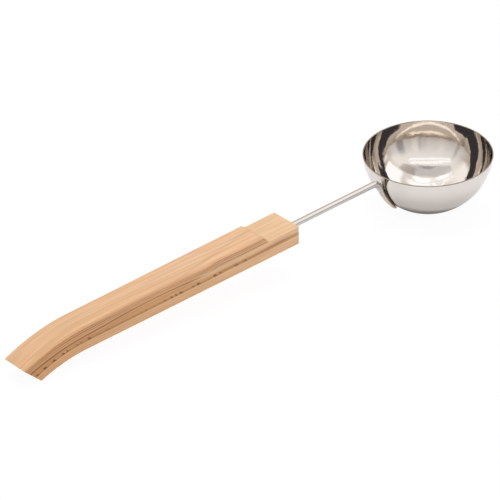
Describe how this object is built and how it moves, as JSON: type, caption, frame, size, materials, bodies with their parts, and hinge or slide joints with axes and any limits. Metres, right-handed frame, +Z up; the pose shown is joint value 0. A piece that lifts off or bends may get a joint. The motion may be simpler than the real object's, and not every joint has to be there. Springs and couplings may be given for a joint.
{
  "type": "sauna ladle",
  "caption": "Sauna ladle with a polished round steel bowl on a bent steel rod and a wooden handle with a lowered front ledge and a tail that drops to the table.",
  "frame": {"origin": "middle of the bounding box's underside, on the table that the ladle lies on", "axes": "+X from the handle's tail to the bowl, +Z up from the table, +Y across the handle; the ladle is symmetric about the XZ plane"},
  "size_m": [0.4698, 0.1042, 0.052],
  "materials": {
    "bowl_steel": "mirror-polished stainless sheet",
    "rod_steel": "drawn and polished stainless rod",
    "weld_steel": "dull weld metal",
    "handle_wood": "sanded alder, bare or lightly oiled",
    "glue": "set epoxy, hidden in the bore"
  },
  "bodies": {
    "root": {"bowl": "bowl_steel", "stem_rod": "rod_steel", "weld_bead_left": "weld_steel", "weld_bead_right": "weld_steel", "handle": "handle_wood", "tang_glue": "glue"}
  },
  "joints": []
}
